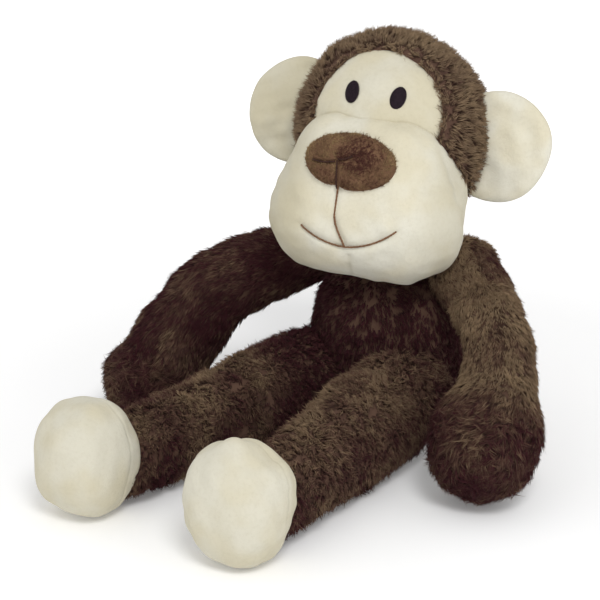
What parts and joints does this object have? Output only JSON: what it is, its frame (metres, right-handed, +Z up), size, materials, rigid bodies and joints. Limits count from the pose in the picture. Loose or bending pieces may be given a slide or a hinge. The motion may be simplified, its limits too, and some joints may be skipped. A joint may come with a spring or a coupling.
{
  "type": "stuffed monkey",
  "caption": "Sitting stuffed monkey with a round head, a broad muzzle, padded ears and soft arms and legs that bend.",
  "frame": {"origin": "middle of the seat, on the surface the toy sits on", "axes": "+Z up, -Y the way the toy faces, +X its own left side"},
  "size_m": [0.3094, 0.3179, 0.253],
  "materials": {
    "brown_plush": "long soft pile, slightly tousled, dark at the roots",
    "cream_velour": "short even pile",
    "nose_plush": "short brushed pile",
    "eye_thread": "satin stitch in shiny thread",
    "brown_thread": "thick sewing thread",
    "stuffing": "polyester fibre"
  },
  "bodies": {
    "torso": {"torso_front_panel": "brown_plush", "torso_back_panel": "brown_plush", "torso_stuffing": "stuffing", "back_closing_stitch": "brown_thread"},
    "neck": {"neck_ball": "brown_plush"},
    "head": {"head_panel_left": "brown_plush", "head_panel_right": "brown_plush", "face_panel": "cream_velour", "muzzle_cover": "cream_velour", "head_stuffing": "stuffing", "nose_patch": "nose_plush", "eye_left": "eye_thread", "eye_right": "eye_thread", "smile_stitch": "brown_thread", "nose_stitch": "brown_thread"},
    "shoulder_left": {"shoulder_ball_left": "brown_plush"},
    "upper_arm_left": {"upper_arm_cover_left": "brown_plush", "upper_arm_stuffing_left": "stuffing"},
    "forearm_left": {"forearm_cover_left": "brown_plush", "forearm_stuffing_left": "stuffing"},
    "shoulder_right": {"shoulder_ball_right": "brown_plush"},
    "upper_arm_right": {"upper_arm_cover_right": "brown_plush", "upper_arm_stuffing_right": "stuffing"},
    "forearm_right": {"forearm_cover_right": "brown_plush", "forearm_stuffing_right": "stuffing"},
    "hip_left": {"hip_ball_left": "brown_plush"},
    "thigh_left": {"thigh_cover_left": "brown_plush", "thigh_stuffing_left": "stuffing"},
    "shin_left": {"shin_cover_left": "brown_plush", "shin_stuffing_left": "stuffing"},
    "foot_left": {"foot_sole_left": "cream_velour", "foot_instep_left": "cream_velour", "foot_stuffing_left": "stuffing"},
    "hip_right": {"hip_ball_right": "brown_plush"},
    "thigh_right": {"thigh_cover_right": "brown_plush", "thigh_stuffing_right": "stuffing"},
    "shin_right": {"shin_cover_right": "brown_plush", "shin_stuffing_right": "stuffing"},
    "foot_right": {"foot_sole_right": "cream_velour", "foot_instep_right": "cream_velour", "foot_stuffing_right": "stuffing"},
    "ear_left": {"ear_front_left": "cream_velour", "ear_back_left": "cream_velour", "ear_wadding_left": "stuffing"},
    "ear_right": {"ear_front_right": "cream_velour", "ear_back_right": "cream_velour", "ear_wadding_right": "stuffing"}
  },
  "joints": [
    {"name": "neck_turn", "type": "hinge", "parent": "torso", "child": "neck", "pos_m": [0, 0, 0.131], "axis": [0, 0, 1], "range_deg": [-35, 5]},
    {"name": "head_nod", "type": "hinge", "parent": "neck", "child": "head", "pos_m": [0, 0, 0.131], "axis": [0.9613, 0.2756, 0], "range_deg": [-20, 3]},
    {"name": "shoulder_swing_left", "type": "hinge", "parent": "torso", "child": "shoulder_left", "pos_m": [0.053, 0.004, 0.107], "axis": [-1, 0, 0], "range_deg": [-57, 53]},
    {"name": "shoulder_raise_left", "type": "hinge", "parent": "shoulder_left", "child": "upper_arm_left", "pos_m": [0.053, 0.004, 0.107], "axis": [0, -0.5446, 0.8387], "range_deg": [-8, 43]},
    {"name": "elbow_left", "type": "hinge", "parent": "upper_arm_left", "child": "forearm_left", "pos_m": [0.11604, -0.03731, 0.08017], "axis": [0.18, 0.7141, -0.6765], "range_deg": [-45, 20]},
    {"name": "shoulder_swing_right", "type": "hinge", "parent": "torso", "child": "shoulder_right", "pos_m": [-0.053, 0.004, 0.107], "axis": [-1, 0, 0], "range_deg": [-68, 42]},
    {"name": "shoulder_raise_right", "type": "hinge", "parent": "shoulder_right", "child": "upper_arm_right", "pos_m": [-0.053, 0.004, 0.107], "axis": [0, 0.3746, -0.9272], "range_deg": [-8, 54]},
    {"name": "elbow_right", "type": "hinge", "parent": "upper_arm_right", "child": "forearm_right", "pos_m": [-0.10548, -0.05198, 0.08438], "axis": [0.6182, -0.7131, 0.3305], "range_deg": [-35, 34]},
    {"name": "hip_swing_left", "type": "hinge", "parent": "torso", "child": "hip_left", "pos_m": [0.035, -0.038, 0.0275], "axis": [-0.9945, -0.1045, 0], "range_deg": [-60, 30]},
    {"name": "hip_splay_left", "type": "hinge", "parent": "hip_left", "child": "thigh_left", "pos_m": [0.035, -0.038, 0.0275], "axis": [0, 0, 1], "range_deg": [-4, 20]},
    {"name": "knee_left", "type": "hinge", "parent": "thigh_left", "child": "shin_left", "pos_m": [0.04378, -0.12154, 0.0275], "axis": [0.9945, 0.1045, 0], "range_deg": [-25, 65]},
    {"name": "ankle_left", "type": "hinge", "parent": "shin_left", "child": "foot_left", "pos_m": [0.05214, -0.2011, 0.0275], "axis": [-0.9945, -0.1045, 0], "range_deg": [-12, 12]},
    {"name": "hip_swing_right", "type": "hinge", "parent": "torso", "child": "hip_right", "pos_m": [-0.035, -0.038, 0.0275], "axis": [-0.9945, 0.1045, 0], "range_deg": [-60, 30]},
    {"name": "hip_splay_right", "type": "hinge", "parent": "hip_right", "child": "thigh_right", "pos_m": [-0.035, -0.038, 0.0275], "axis": [0, 0, -1], "range_deg": [-4, 20]},
    {"name": "knee_right", "type": "hinge", "parent": "thigh_right", "child": "shin_right", "pos_m": [-0.04378, -0.12154, 0.0275], "axis": [0.9945, -0.1045, 0], "range_deg": [-25, 65]},
    {"name": "ankle_right", "type": "hinge", "parent": "shin_right", "child": "foot_right", "pos_m": [-0.05214, -0.2011, 0.0275], "axis": [-0.9945, 0.1045, 0], "range_deg": [-12, 12]},
    {"name": "ear_fold_left", "type": "hinge", "parent": "head", "child": "ear_left", "pos_m": [0.04898, 0.02308, 0.18712], "axis": [0.0955, -0.0814, 0.9921], "range_deg": [-20, 20]},
    {"name": "ear_fold_right", "type": "hinge", "parent": "head", "child": "ear_right", "pos_m": [-0.05459, -0.00662, 0.19466], "axis": [-0.0955, 0.0814, -0.9921], "range_deg": [-20, 20]}
  ]
}
